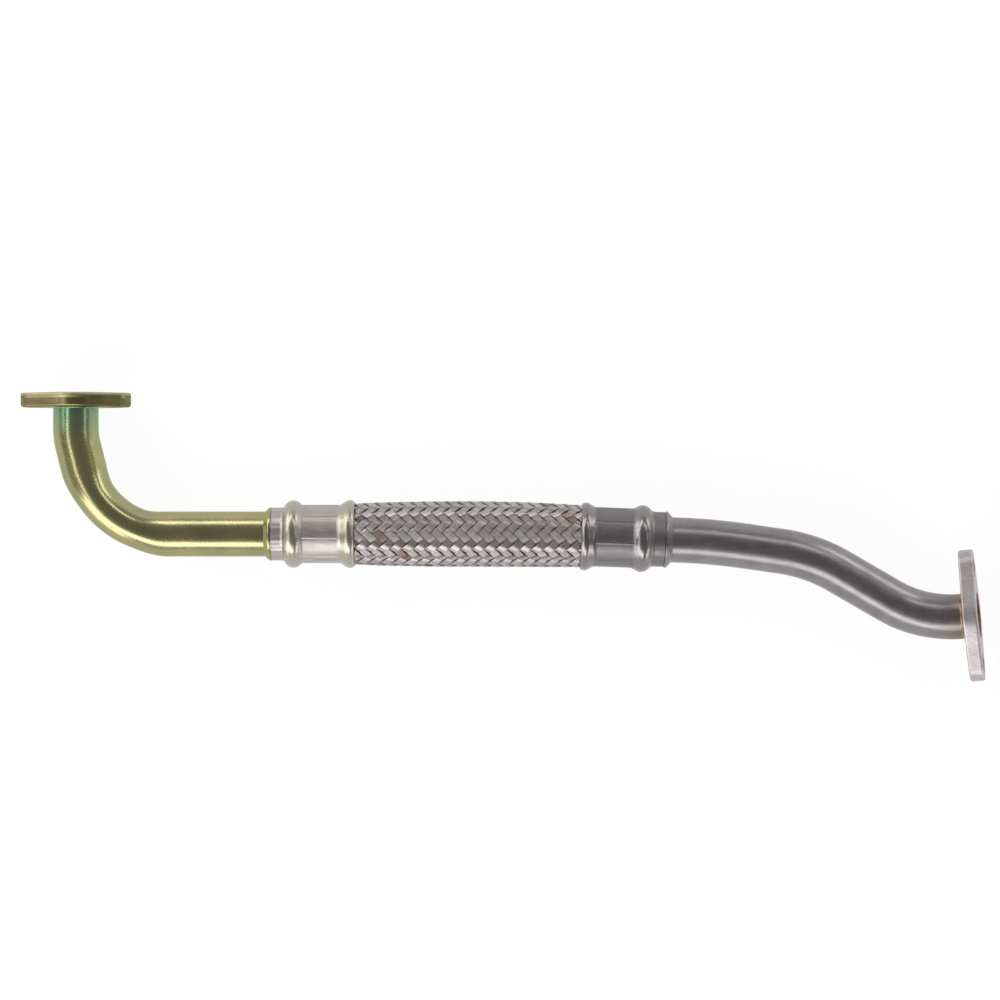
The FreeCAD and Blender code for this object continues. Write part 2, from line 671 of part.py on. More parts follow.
def main():
    """Builds every piece about the common origin and writes one file for each."""
    os.makedirs("parts", exist_ok=True)
    pieces = build()
    origin = origin_of(pieces)
    print("hose datum in the part's frame:", [round(-value, 3) for value in origin])
    for name, shape in pieces.items():
        shape.translate(origin * -1)
        shape.exportStep(f"parts/{name}.step")
        print(name, "valid" if shape.isValid() else "NOT VALID", len(shape.Solids), "solid",
              round(shape.Volume, 1), "mm3")


if __name__ == "__main__":
    main()
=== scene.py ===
"""The looks of a turbo oil return pipe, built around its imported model.

Two bent steel tubes carry brazed two-bolt flanges. A hose under a braid of steel wire joins them, held by two
crimped ferrules. Sizes in the classes are millimetres, as on a drawing. Meshes are metres, in the model's own
frame: +X along the hose from the inlet to the outlet, +Z up, and the floor at zero.
"""
import logging
import math
from abc import ABC, abstractmethod
from dataclasses import dataclass
from enum import Enum
from typing import Sequence

import bpy
import numpy as np
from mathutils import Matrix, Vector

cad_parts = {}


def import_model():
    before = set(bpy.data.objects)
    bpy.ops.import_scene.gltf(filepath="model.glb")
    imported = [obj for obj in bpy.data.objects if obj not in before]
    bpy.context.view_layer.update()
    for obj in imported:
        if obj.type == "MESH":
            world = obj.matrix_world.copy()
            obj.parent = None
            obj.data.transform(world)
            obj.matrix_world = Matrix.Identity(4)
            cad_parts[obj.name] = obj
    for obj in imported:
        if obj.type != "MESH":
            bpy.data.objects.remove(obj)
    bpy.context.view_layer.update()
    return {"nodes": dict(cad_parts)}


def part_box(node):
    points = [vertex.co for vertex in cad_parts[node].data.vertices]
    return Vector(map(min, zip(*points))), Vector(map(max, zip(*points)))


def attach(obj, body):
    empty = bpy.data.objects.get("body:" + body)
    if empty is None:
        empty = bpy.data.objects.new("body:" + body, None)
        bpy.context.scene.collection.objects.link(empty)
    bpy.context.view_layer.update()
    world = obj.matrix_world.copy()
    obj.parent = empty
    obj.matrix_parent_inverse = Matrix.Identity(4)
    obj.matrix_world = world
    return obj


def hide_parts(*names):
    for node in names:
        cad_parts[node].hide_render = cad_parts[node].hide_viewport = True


LOG = logging.getLogger("oil_return_pipe")
MM = 0.001
BODY = "root"
UP = np.array([0.0, 0.0, 1.0])
SMOOTH_ANGLE = math.radians(38)
FLANGE_THICKNESS = 6.0
TUBE_SETBACK = 1.0                  # from a gasket face to the tube's end inside the flange

Outline = Sequence[tuple]


class Lean(Enum):
    """The two ways that the bands of a braid run: DOWN turns towards -Y along the hose, and UP towards +Y."""
    DOWN = -1
    UP = 1


def linear(code: str) -> tuple[float, float, float, float]:
    """Turns an sRGB hex colour into the linear colour that a shader takes.

    Args:
        code: The colour as #rrggbb.

    Returns:
        Red, green, blue and an alpha of 1.
    """
    share = np.array([int(code[i:i + 2], 16) for i in (1, 3, 5)]) / 255
    value = np.where(share <= 0.04045, share / 12.92, ((share + 0.055) / 1.055) ** 2.4)
    return (float(value[0]), float(value[1]), float(value[2]), 1.0)


def add(tree: bpy.types.NodeTree, kind: str, inputs: dict | None = None,
        stops: Sequence[tuple[float, str]] = (), **settings: object) -> bpy.types.Node:
    """Adds a node, sets its properties and fills or links its inputs.

    Args:
        tree: The node tree that takes the node.
        kind: The node's type, without ShaderNode in front.
        inputs: For each input, by name or number, a value, a #rrggbb colour, another node's output, or a
            node, which stands for its first output.
        stops: Positions and #rrggbb colours, for a node that holds a colour ramp.
        settings: The node's own properties.

    Returns:
        The new node.
    """
    node = tree.nodes.new("ShaderNode" + kind)
    for key, value in settings.items():
        setattr(node, key, value)
    for key, value in (inputs or {}).items():
        if isinstance(value, bpy.types.Node):
            value = value.outputs[0]
        if isinstance(value, bpy.types.NodeSocket):
            tree.links.new(value, node.inputs[key])
        elif isinstance(value, str):
            node.inputs[key].default_value = linear(value)
        else:
            node.inputs[key].default_value = value
    for index, (place, code) in enumerate(stops):
        elements = node.color_ramp.elements
        element = elements[index] if index < len(elements) else elements.new(place)
        element.position = place
        element.color = linear(code)
    return node


def new_material(name: str) -> bpy.types.Material:
    """An empty node material of the given name."""
    material = bpy.data.materials.new(name)
    material.use_nodes = True
    material.node_tree.nodes.clear()
    return material


def dress(piece: bpy.types.Object, material: bpy.types.Material) -> None:
    """Puts one material on a whole piece.

    Args:
        piece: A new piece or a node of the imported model.
        material: The finish.
    """
    if not piece.material_slots:
        piece.data.materials.append(material)
    for slot in piece.material_slots:
        slot.material = material


def turned_about(vector: np.ndarray, axis: np.ndarray, angles: np.ndarray) -> np.ndarray:
    """Turns a vector about a unit axis by each angle.

    The turned vector is v cos a + (k x v) sin a + k (k . v)(1 - cos a), for the axis k and the angle a.

    Args:
        vector: The vector.
        axis: The unit axis.
        angles: The angles, in radians.

    Returns:
        One vector for each angle.
    """
    c = np.cos(angles)[:, None]
    s = np.sin(angles)[:, None]
    return vector * c + np.cross(axis, vector) * s + axis * (axis @ vector) * (1 - c)


def arc_points(start: np.ndarray, through: np.ndarray, end: np.ndarray, spacing: float) -> np.ndarray:
    """Points along the arc from start to end that passes through a third point, without its start.

    The centre is where the points' perpendicular bisectors meet, and the angles are evenly spaced.

    Args:
        start: The arc's first point, as (x, r).
        through: A point on the arc.
        end: The arc's last point.
        spacing: The largest distance between two points.

    Returns:
        The points, one a row.
    """
    corners = np.array([start, through, end], float)
    squares = (corners ** 2).sum(1)
    after, before = np.roll(corners, -1, 0), np.roll(corners, 1, 0)
    twice_area = 2 * (corners[:, 0] * (after[:, 1] - before[:, 1])).sum()
    centre = np.array([(squares * (after[:, 1] - before[:, 1])).sum(),
                       (squares * (before[:, 0] - after[:, 0])).sum()]) / twice_area
    spokes = corners - centre
    angles = np.arctan2(spokes[:, 1], spokes[:, 0])
    way = math.copysign(1.0, twice_area)
    sweep = (way * (angles[2] - angles[0])) % (2 * math.pi)
    radius = math.hypot(*spokes[0])
    count = max(8, math.ceil(sweep * radius / spacing))
    turn = angles[0] + way * sweep * np.arange(1, count + 1) / count
    return centre + radius * np.column_stack([np.cos(turn), np.sin(turn)])


def outline_points(steps: Outline, spacing: float) -> np.ndarray:
    """Samples an outline of straight lines and arcs.

    Args:
        steps: (x, r) corners, each reached by a straight line, or pairs of a point that an arc passes through
            and the corner where it ends.
        spacing: The largest distance between two points.

    Returns:
        The points, one a row, from the first corner to the last.
    """
    here = np.array(steps[0], float)
    parts = [here[None]]
    for step in steps[1:]:
        if isinstance(step[0], tuple):
            parts.append(arc_points(here, step[0], step[1], spacing))
            here = np.array(step[1], float)
        else:
            end = np.array(step, float)
            count = max(1, math.ceil(np.linalg.norm(end - here) / spacing))
            share = np.arange(1, count + 1)[:, None] / count
            parts.append(here + (end - here) * share)
            here = end
    return np.concatenate(parts)


def mesh_piece(name: str, points: np.ndarray, faces: Sequence[np.ndarray], uv: Sequence[np.ndarray],
               fields: dict[str, np.ndarray] | None = None) -> bpy.types.Object:
    """Makes an object of whole arrays and turns its faces outwards.

    The enclosed volume is the sum of v0 . (v1 x v2) / 6 over a fan of triangles in each face. Where it comes
    out negative, every face is turned over.

    Args:
        name: The piece's name.
        points: Vertices, one a row, in millimetres.
        faces: Arrays of vertex numbers, one face a row, each array with its own number of corners.
        uv: For each array of faces, the UV place of each corner, in metres on the surface.
        fields: Named values, one for each vertex, that a material reads.

    Returns:
        The new object, at the origin.
    """
    volume = 0.0
    for rows in faces:
        corners = points[rows]
        for k in range(1, rows.shape[1] - 1):
            volume += np.einsum("ij,ij->", corners[:, 0], np.cross(corners[:, k], corners[:, k + 1]))
    if volume < 0:
        faces = [rows[:, ::-1] for rows in faces]
        uv = [places[:, ::-1] for places in uv]
    corner_list = np.concatenate([rows.ravel() for rows in faces]).astype(np.int32)
    sizes = np.concatenate([np.full(len(rows), rows.shape[1]) for rows in faces])
    starts = np.concatenate([[0], np.cumsum(sizes)[:-1]]).astype(np.int32)
    mesh = bpy.data.meshes.new(name)
    mesh.vertices.add(len(points))
    mesh.vertices.foreach_set("co", (points * MM).astype(np.float32).ravel())
    mesh.loops.add(len(corner_list))
    mesh.loops.foreach_set("vertex_index", corner_list)
    mesh.polygons.add(len(starts))
    mesh.polygons.foreach_set("loop_start", starts)
    mesh.update(calc_edges=True)
    layer = mesh.uv_layers.new(name="surface")
    layer.uv.foreach_set("vector", np.concatenate([places.ravel() for places in uv]).astype(np.float32))
    for field_name, values in (fields or {}).items():
        attribute = mesh.attributes.new(field_name, "FLOAT", "POINT")
        attribute.data.foreach_set("value", values.astype(np.float32))
    mesh.shade_smooth()
    mesh.set_sharp_from_angle(angle=SMOOTH_ANGLE)
    piece = bpy.data.objects.new(name, mesh)
    bpy.context.scene.collection.objects.link(piece)
    return piece


def swept_piece(name: str, path: np.ndarray, points: np.ndarray, radius: float) -> bpy.types.Object:
    """Makes an object of a closed outline that is swept along a line and round it.

    Args:
        name: The piece's name.
        path: The outline's (distance, radius) points.
        points: The vertices, as (outline points, points round, 3).
        radius: The radius that V of the UV map is measured at. U is the distance along the outline's line.

    Returns:
        The new object.
    """
    rows, columns = points.shape[:2]
    i, j = np.meshgrid(np.arange(rows), np.arange(columns), indexing="ij")
    row = np.stack([i, i + 1, i + 1, i], -1).reshape(-1, 4)
    column = np.stack([j, j, j + 1, j + 1], -1).reshape(-1, 4)
    quads = (row % rows) * columns + column % columns
    along = np.append(path[:, 0], path[0, 0])
    around = np.arange(columns + 1) * 2 * math.pi * radius / columns
    uv = np.stack([along[row], around[column]], -1) * MM
    return mesh_piece(name, points.reshape(-1, 3), [quads], [uv])


@dataclass
class HoseLine:
    """The hose's centre line: straight from the inlet, then a slight bend before the outlet ferrule."""
    datum: np.ndarray
    outlet_mouth: float = 129.7
    bend_length: float = 47.0
    bend_angle: float = 2.25

    def at(self, s: np.ndarray) -> tuple[np.ndarray, np.ndarray]:
        """Places along the line.

        In the bend, the turn t grows evenly with s, and the place moves by R (sin t, cos t - 1) from the
        bend's start, for the bend's radius R.

        Args:
            s: Distances from the inlet's stop bead.

        Returns:
            The points and the unit headings, one a row.
        """
        start = self.outlet_mouth - self.bend_length
        full = math.radians(self.bend_angle)
        radius = self.bend_length / full
        turn = np.clip((s - start) / radius, 0, full)
        heading = np.column_stack([np.cos(turn), -np.sin(turn), np.zeros_like(turn)])
        bend = np.column_stack([np.sin(turn), np.cos(turn) - 1, np.zeros_like(turn)]) * radius
        straight = np.minimum(s, start)
        past = np.maximum(s - self.outlet_mouth, 0)
        points = self.datum + bend + heading * past[:, None]
        points[:, 0] += straight
        return points, heading

    def outward(self, s: np.ndarray, angle: np.ndarray, radius: np.ndarray) -> np.ndarray:
        """Points off the line, at a radius and at an angle from +Z towards +Y.

        Args:
            s: Distances along the line.
            angle: Angles in radians.
            radius: Distances from the line.

        Returns:
            The points, one a row.
        """
        points, heading = self.at(s)
        side = np.cross(UP, heading)
        return points + radius[:, None] * (side * np.sin(angle)[:, None] + UP * np.cos(angle)[:, None])


@dataclass
class Leg:
    """One straight run or one bend of a tube's centre line."""
    start: float
    length: float
    point: np.ndarray
    heading: np.ndarray
    normal: np.ndarray
    axis: np.ndarray | None = None
    radius: float = 0.0
    press: float = 0.0              # how far the bend's inside and outside are pressed in
    spread: float = 0.0             # how far its other two sides spread

    def frames(self, along: np.ndarray) -> tuple[np.ndarray, np.ndarray, np.ndarray]:
        """Centres, headings and normals at distances along this leg.

        On a bend they turn about its axis by the distance over the radius.
        """
        if self.axis is None:
            ones = np.ones_like(along)[:, None]
            return self.point + along[:, None] * self.heading, ones * self.heading, ones * self.normal
        turn = along / self.radius
        inward = np.cross(self.axis, self.heading)
        centre = self.point + inward * self.radius
        return (centre + turned_about(-inward * self.radius, self.axis, turn),
                turned_about(self.heading, self.axis, turn), turned_about(self.normal, self.axis, turn))

    def oval(self, along: np.ndarray) -> np.ndarray:
        """How far the section is pressed along this leg, from 0 at both ends to 1, as 3 t^2 - 2 t^3."""
        blend = 0.3 * self.length
        rise = np.clip(np.minimum(along, self.length - along) / blend, 0, 1)
        return rise * rise * (3 - 2 * rise)


class BendingTable:
    """A tube's centre line of straight runs and tangent bends."""

    def __init__(self, point: np.ndarray, heading: np.ndarray) -> None:
        """Starts the line at a point, with +Z as its normal."""
        self.point = point
        self.heading = heading
        self.normal = UP
        self.legs: list[Leg] = []
        self.length = 0.0

    def take(self, leg: Leg) -> None:
        """Adds a leg and moves the line's end to the leg's end."""
        point, heading, normal = leg.frames(np.array([leg.length]))
        self.point, self.heading, self.normal = point[0], heading[0], normal[0]
        self.length += leg.length
        self.legs.append(leg)

    def run(self, length: float) -> None:
        """Goes straight on."""
        self.take(Leg(self.length, length, self.point, self.heading, self.normal))

    def bend_to(self, heading: float, rise: float, radius: float, press: float = 0.0,
                spread: float = 0.0) -> None:
        """Bends until the line points along a new heading.

        Args:
            heading: Degrees from +X towards +Y.
            rise: Degrees up from the XY plane.
            radius: The bend's radius.
            press: How far a tight bend's inside and outside are pressed in.
            spread: How far its other two sides spread.
        """
        h, e = math.radians(heading), math.radians(rise)
        aim = np.array([math.cos(e) * math.cos(h), math.cos(e) * math.sin(h), math.sin(e)])
        axis = np.cross(self.heading, aim)
        turn = math.atan2(np.linalg.norm(axis), self.heading @ aim)
        axis = axis / np.linalg.norm(axis)
        self.take(Leg(self.length, turn * radius, self.point, self.heading, self.normal, axis, radius, press,
                      spread))

    def frames(self, along: np.ndarray) -> tuple[np.ndarray, np.ndarray, np.ndarray]:
        """Centres, normals and sides at distances along the whole line."""
        centres = np.empty((len(along), 3))
        headings = np.empty((len(along), 3))
        normals = np.empty((len(along), 3))
        for leg in self.legs:
            last = leg is self.legs[-1]
            inside = (along >= leg.start) & ((along < leg.start + leg.length) | last)
            centres[inside], headings[inside], normals[inside] = leg.frames(along[inside] - leg.start)
        return centres, normals, np.cross(headings, normals)

    def ovals(self, along: np.ndarray) -> tuple[np.ndarray, np.ndarray]:
        """How far the section spreads along its normal and shrinks along its side, for each distance."""
        spread = np.zeros_like(along)
        press = np.zeros_like(along)
        for leg in self.legs:
            inside = (along >= leg.start) & (along < leg.start + leg.length)
            share = leg.oval(along[inside] - leg.start)
            spread[inside] = leg.spread * share
            press[inside] = leg.press * share
        return spread, press


@dataclass
class HoseTail:
    """The drawn-down and barbed end of a tube, inside the hose."""
    end: float = 32.0
    radius: float = 8.0
    bore: float = 6.5
    shoulder: float = 1.5
    barb_height: float = 0.4
    barb_length: float = 5.0
    barb_count: int = 3
    chamfer: float = 0.6


@dataclass
class StopBead:
    """The bead rolled up on a tube in front of its ferrule."""
    radius: float
    width: float
    gap: float = 0.05               # from the ferrule's neck
    edge: float = 0.2


@dataclass
class BentTube:
    """One bent tube, from its barbed tail through its stop bead to its end in the flange."""
    name: str
    line: BendingTable
    bead: StopBead
    neck_length: float
    tail: HoseTail
    radius: float = 9.5
    wall: float = 1.5
    round_count: int = 120
    spacing: float = 1.2

    def outline(self) -> Outline:
        """The tube's (distance, radius) outline: tail, bead and outside, then back along the bore."""
        t, r = self.tail, self.radius
        barbs = t.chamfer + np.arange(t.barb_count) * t.barb_length
        steps = [(0.0, t.bore), (0.0, t.radius - t.chamfer), (t.chamfer, t.radius)]
        for start in barbs.tolist():
            steps += [(start + t.barb_length, t.radius + t.barb_height), (start + t.barb_length, t.radius)]
        shoulder = t.end - self.neck_length
        top, width, gap, edge = self.bead.radius, self.bead.width, self.bead.gap, self.bead.edge
        height = top - r
        crown = ((t.end + 0.34 * width, top - 0.05 * height), (t.end + 0.45 * width, top - 0.2 * height))
        steps += [(shoulder - t.shoulder, t.radius), (shoulder, r), (t.end + gap, r),
                  (t.end + gap, top - edge), (t.end + gap + edge, top), (t.end + 0.2 * width, top), crown,
                  (t.end + width, r), (self.line.length, r), (self.line.length, r - self.wall),
                  (shoulder + t.shoulder, r - self.wall), (shoulder - t.shoulder, t.bore)]
        return steps

    def build(self) -> bpy.types.Object:
        """Sweeps the outline along the line.

        A point is c(p) + (r + w(p)) n(p) cos a + (r - f(p)) b(p) sin a, for the line's centre c, normal n and
        side b at the outline's distance p, its radius r, the angle a round the tube, and the spread w and the
        press f of a bend's oval section.

        Returns:
            The tube, in place of its node.
        """
        path = outline_points(self.outline(), self.spacing)
        centres, normals, sides = self.line.frames(path[:, 0])
        angle = np.arange(self.round_count) * 2 * math.pi / self.round_count
        spread, press = self.line.ovals(path[:, 0])
        tall = (path[:, 1] + spread)[:, None] * np.cos(angle)
        wide = (path[:, 1] - press)[:, None] * np.sin(angle)
        points = centres[:, None] + tall[..., None] * normals[:, None] + wide[..., None] * sides[:, None]
        piece = swept_piece(self.name + "_skin", path, points, self.radius)
        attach(piece, BODY)
        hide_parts(self.name)
        return piece


@dataclass
class CrimpedFerrule:
    """A crimped sleeve: fluted neck, bulge, waist with ridges between the jaws' marks, and flared mouth."""
    name: str
    neck_length: float
    bulge_length: float
    waist_length: float
    flare_length: float
    neck_radius: float
    bulge_radius: float
    waist_radius: float
    flare_radius: float
    mouth_radius: float
    ridge_turn: float
    wall: float = 1.4
    neck_bore: float = 9.55
    neck_edge: float = 0.2
    bulge_root: tuple[float, float] = (0.36, 1.3)   # height and width of the hollow round at each root
    waist_root: tuple[float, float] = (0.26, 1.1)
    flare_root: tuple[float, float] = (0.13, 1.0)
    ridge_height: float = 0.25
    ridge_width: float = 0.6
    ridge_count: int = 8
    jaw_hollow: float = 0.14        # how far the waist is pressed flat between two ridges
    flute_count: int = 28
    flute_depth: float = 0.1
    fade: float = 0.5               # how far the ridges and flutes take to run out
    round_count: int = 300
    spacing: float = 0.3
    inner_spacing: float = 2.0

    @property
    def waist_start(self) -> float:
        """Where the waist starts, from the neck's end."""
        return self.neck_length + self.bulge_length

    @property
    def waist_end(self) -> float:
        """Where the waist ends and the flare starts."""
        return self.waist_start + self.waist_length

    @property
    def length(self) -> float:
        """The ferrule's whole length."""
        return self.waist_end + self.flare_length

    @property
    def bulge_middle(self) -> float:
        """Where the bulge is highest."""
        return self.neck_length + 0.535 * self.bulge_length

    def outline(self) -> np.ndarray:
        """The sleeve's (x, r) points: closely along the outside, then sparsely back along the inside."""
        rise = self.flare_radius - self.waist_radius
        slope_end = (self.waist_end + 0.4 * self.flare_length, self.waist_radius + 0.76 * rise)
        crown = (self.waist_end + 0.72 * self.flare_length, self.flare_radius)
        lip = (self.length, self.flare_radius - 0.42 * rise)
        waist_bore = self.waist_radius - self.wall
        cup = self.neck_length + self.wall
        outside = [(0.0, self.neck_bore), (0.0, self.neck_radius - self.neck_edge),
                   (self.neck_edge, self.neck_radius),
                   (self.neck_length, self.neck_radius),
                   ((self.bulge_middle, self.bulge_radius), (self.waist_start, self.waist_radius)),
                   (self.waist_end, self.waist_radius), slope_end, (crown, lip),
                   (self.length, self.mouth_radius)]
        inside = [(self.waist_end, waist_bore), (self.waist_start + 0.2, waist_bore),
                  ((self.bulge_middle + 0.6, self.bulge_radius - self.wall), (cup + 0.3, waist_bore + 0.4)),
                  (cup, self.neck_bore)]
        return np.concatenate([outline_points(outside, self.spacing),
                               outline_points(inside, self.inner_spacing)])

    def hollow(self, x: np.ndarray, r: np.ndarray) -> np.ndarray:
        """The hollow rounds at the roots of the bulge and of the flare.

        Each adds h (1 - d / w)^2 within the distance d = w of the root along the outside, which turns the
        corner there into a smooth hollow.

        Args:
            x: Places along the axis, a column.
            r: Radii, a column.

        Returns:
            What the rounds add to the radius.
        """
        added = np.zeros_like(x)
        for place, root, (height, width) in (
                (self.neck_length, self.neck_radius, self.bulge_root),
                (self.waist_start, self.waist_radius, self.waist_root),
                (self.waist_end, self.waist_radius, self.flare_root)):
            off = np.hypot(x - place, r - root)
            added = added + height * np.clip(1 - off / width, 0, 1) ** 2
        return added

    def relief(self, x: np.ndarray, r: np.ndarray, angle: np.ndarray) -> np.ndarray:
        """What the crimping jaws add to the radius of the outside.

        On the waist it is a triangular ridge at each of the evenly spaced joints of the jaws, less a hollow
        that goes as (1 - cos n a) / 2 between them. On the neck it is a flute that goes as the square of
        sin (m a / 2). Both fade out at the ends of their zones.

        Args:
            x: Places along the axis, a column.
            r: Radii, a column.
            angle: Angles from +Z towards the side, a row.

        Returns:
            The change of radius on the whole grid.
        """
        outside = r > self.waist_radius - 0.5 * self.wall
        start, end = self.waist_start + 0.4, self.waist_end - 0.3
        waist = np.clip((x - start) / self.fade, 0, 1) * np.clip((end - x) / self.fade, 0, 1)
        phase = self.ridge_count * (angle - math.radians(self.ridge_turn))
        off_joint = np.abs((phase + math.pi) % (2 * math.pi) - math.pi) / self.ridge_count * self.waist_radius
        ridge = self.ridge_height * np.clip(1 - 2 * off_joint / self.ridge_width, 0, 1)
        hollow = self.jaw_hollow * (1 - np.cos(phase)) / 2
        neck = np.clip(x / self.fade, 0, 1) * np.clip((self.neck_length - x) / self.fade, 0, 1)
        on_neck = (r > self.neck_radius - 0.5) & (x <= self.neck_length)
        flute = self.flute_depth * np.sin(self.flute_count * angle / 2) ** 2
        return outside * waist * (ridge - hollow) - on_neck * neck * flute

    def build(self, origin: np.ndarray, axis: np.ndarray) -> bpy.types.Object:
        """Turns the outline about the axis and adds the relief.

        A point is o + x k + (r + d)(z cos a + y sin a), for the axis k, the up direction z, the side y and
        the relief d.

        Args:
            origin: The neck's end, on the axis.
            axis: The unit direction from the neck to the mouth.

        Returns:
            The ferrule, in place of its node.
        """
        path = self.outline()
        x, r = path[:, :1], path[:, 1:]
        angle = np.arange(self.round_count) * 2 * math.pi / self.round_count
        radius = r + self.hollow(x, r) + self.relief(x, r, angle[None])
        side = np.cross(UP, axis)
        spoke = UP * np.cos(angle)[:, None] + side * np.sin(angle)[:, None]
        points = origin + (x * axis)[:, None] + radius[..., None] * spoke[None]
        piece = swept_piece(self.name + "_skin", path, points, self.waist_radius)
        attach(piece, BODY)
        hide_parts(self.name)
        return piece


@dataclass
class WireBraid:
    """A braid of flat bands of wire, 18 each way, each over two bands and under two."""
    hose: HoseLine
    inlet: CrimpedFerrule
    outlet: CrimpedFerrule
    bands: int = 18
    wires: int = 8
    wire_diameter: float = 0.385
    wire_relief: float = 0.16       # the wires' height above the grooves, as a share of a round wire's
    start: float = 32.4             # where the first crossings stand, inside the inlet ferrule's mouth
    half_pitch: float = 2.455       # along the hose, from one column of crossings to the next
    floats: int = 20
    turn: float = -7.4              # where a column of crossings stands, from +Z towards +Y
    mid_radius: float = 13.9
    swell: float = 0.62
    wave: float = 0.64              # how far a band rises and dives about the braid's middle surface
    thickness: float = 0.5
    edge_drop: float = 0.04
    mouth_gap: float = 0.05
    uneven: float = 0.012           # how much a band's height wanders, and at how many places
    knots: int = 12
    steps: int = 6                  # along a band, for each band that it crosses
    stained: int = 3                # the DOWN band that is browned
    seed: int = 7

    def crown(self, s: np.ndarray) -> np.ndarray:
        """The radius over the floats.

        Between the mouths it is the line between their radii plus a swell that goes as sin(pi t) to a power,
        for the share t of the free length. Inside a mouth it falls evenly to the crimped radius.
        """
        first, last = self.inlet.length, self.hose.outlet_mouth
        gap = self.mouth_gap
        near, far = self.inlet.mouth_radius - gap, self.outlet.mouth_radius - gap
        t = np.clip((s - first) / (last - first), 0, 1)
        level = near + (far - near) * t
        free = level + (self.mid_radius - level) * np.sin(math.pi * t) ** self.swell
        for ferrule, depth in ((self.inlet, first - s), (self.outlet, s - last)):
            crimped = ferrule.waist_radius - ferrule.wall - gap
            share = np.clip(depth / ferrule.flare_length, 0, 1)
            free = free + (crimped - (ferrule.mouth_radius - gap)) * share
        return free

    def section(self) -> tuple[np.ndarray, np.ndarray]:
        """A band's closed section: places across it from -0.5 to 0.5, and heights over its middle surface.

        The wires' tops go as the root of 1 - x^2 across each wire. Two more points close the band below.
        """
        fine = 4
        across = np.arange(self.wires * fine + 1) / fine
        off = 2 * (across % 1) - 1
        relief = self.wire_relief * self.wire_diameter / 2
        place = across / self.wires - 0.5
        height = relief * np.sqrt(1 - (0.98 * off) ** 2) - self.edge_drop * (2 * place) ** 2
        return np.append(place, [0.5, -0.5]), np.append(height, [-self.thickness, -self.thickness])

    def band(self, number: int, lean: Lean, rng: np.random.Generator) -> np.ndarray:
        """One band, from end to end.

        With the lattice places u and v of the two sets of bands, a point of the hose stands m = u + v half
        pitches along and k = v - u columns round. A DOWN band keeps v near its number and runs along u, and
        an UP band keeps u and runs along v. Its height is a (1 - x^2) within a distance x of 1 from the
        middle of a float, and the same turned over in between, where it passes under.

        Args:
            number: Which band it is, from 0.
            lean: Which way it runs.
            rng: Gives the wires' small unevenness.

        Returns:
            The points, as (steps, places across, 3).
        """
        low, high = -1.0, 2.0 * self.floats + 1.0
        place, height = self.section()
        count = int((high - low) * self.steps) + 1
        along = np.linspace(low, high, count)[:, None] - number
        lattice_width = math.hypot(self.half_pitch, math.radians(180 / self.bands) * self.mid_radius)
        width = self.wires * self.wire_diameter / lattice_width
        across = number + place[None] * width
        knots = rng.normal(0, self.uneven, self.knots)
        uneven = np.interp(along[:, 0], np.linspace(along[0, 0], along[-1, 0], len(knots)), knots)[:, None]
        middle = number - 0.5 if lean is Lean.DOWN else number + 2.5
        off = (along - middle + 1) % 4 - 1
        rise = self.wave * np.where(off < 1, 1 - off ** 2, (off - 2) ** 2 - 1)
        along, across, rise = np.broadcast_arrays(along, across, rise)
        m = along + across
        k = across - along if lean is Lean.DOWN else along - across
        s = self.start + m * self.half_pitch
        angle = math.radians(self.turn) + k * math.pi / self.bands
        crest = self.wave + self.wire_relief * self.wire_diameter / 2 + 0.03
        radius = self.crown(s) - crest + rise + height + uneven
        points = self.hose.outward(s.ravel(), angle.ravel(), radius.ravel())
        return points.reshape(*m.shape, 3)

    def group(self, name: str, numbers: Sequence[int], lean: Lean) -> bpy.types.Object:
        """Several bands as one piece: the wires' tops, a flat underside and closed ends.

        Args:
            name: The piece's name.
            numbers: Which bands it holds.
            lean: Which way they run.

        Returns:
            The piece, in place of the braid's node.
        """
        rng = np.random.default_rng([self.seed, numbers[0], lean is Lean.UP])
        all_points, quads, caps, quad_uv, cap_uv, tones = [], [], [], [], [], []
        base = 0
        for number in numbers:
            points = self.band(number, lean, rng)
            rows, columns = points.shape[:2]
            i, j = np.meshgrid(np.arange(rows - 1), np.arange(columns), indexing="ij")
            row = np.stack([i, i + 1, i + 1, i], -1).reshape(-1, 4)
            column = np.stack([j, j, j + 1, j + 1], -1).reshape(-1, 4) % columns
            quads.append(base + row * columns + column)
            step = self.half_pitch * math.sqrt(2) / self.steps
            quad_uv.append(np.stack([row * step + 100.0 * number, column * 0.1], -1) * MM)
            ends = np.stack([np.arange(columns), (rows - 1) * columns + np.arange(columns)[::-1]])
            caps.append(base + ends)
            cap_uv.append(np.zeros((2, columns, 2)))
            stained = lean is Lean.DOWN and number == self.stained
            tones.append(np.full(rows * columns, 1.0 if stained else rng.uniform(0, 0.8)))
            all_points.append(points.reshape(-1, 3))
            base += rows * columns
        piece = mesh_piece(name, np.concatenate(all_points), [np.concatenate(quads), np.concatenate(caps)],
                           [np.concatenate(quad_uv), np.concatenate(cap_uv)], {"tone": np.concatenate(tones)})
        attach(piece, BODY)
        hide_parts("hose_braid")
        return piece

    def build(self) -> list[bpy.types.Object]:
        """All bands, half of each lean to a piece."""
        half = self.bands // 2
        return [self.group(f"braid_{lean.name.lower()}_{part + 1}", range(part * half, (part + 1) * half),
                           lean) for lean in Lean for part in range(2)]


class Finish(ABC):
    """A metal's or a rubber's finish. Each kind says how its shader is made."""
    name: str

    @abstractmethod
    def shader(self, tree: bpy.types.NodeTree) -> bpy.types.Node:
        """The finish's nodes, up to its shader."""

    def material(self) -> bpy.types.Material:
        """The finish as a new material."""
        material = new_material(self.name)
        tree = material.node_tree
        add(tree, "OutputMaterial", {"Surface": self.shader(tree)})
        return material


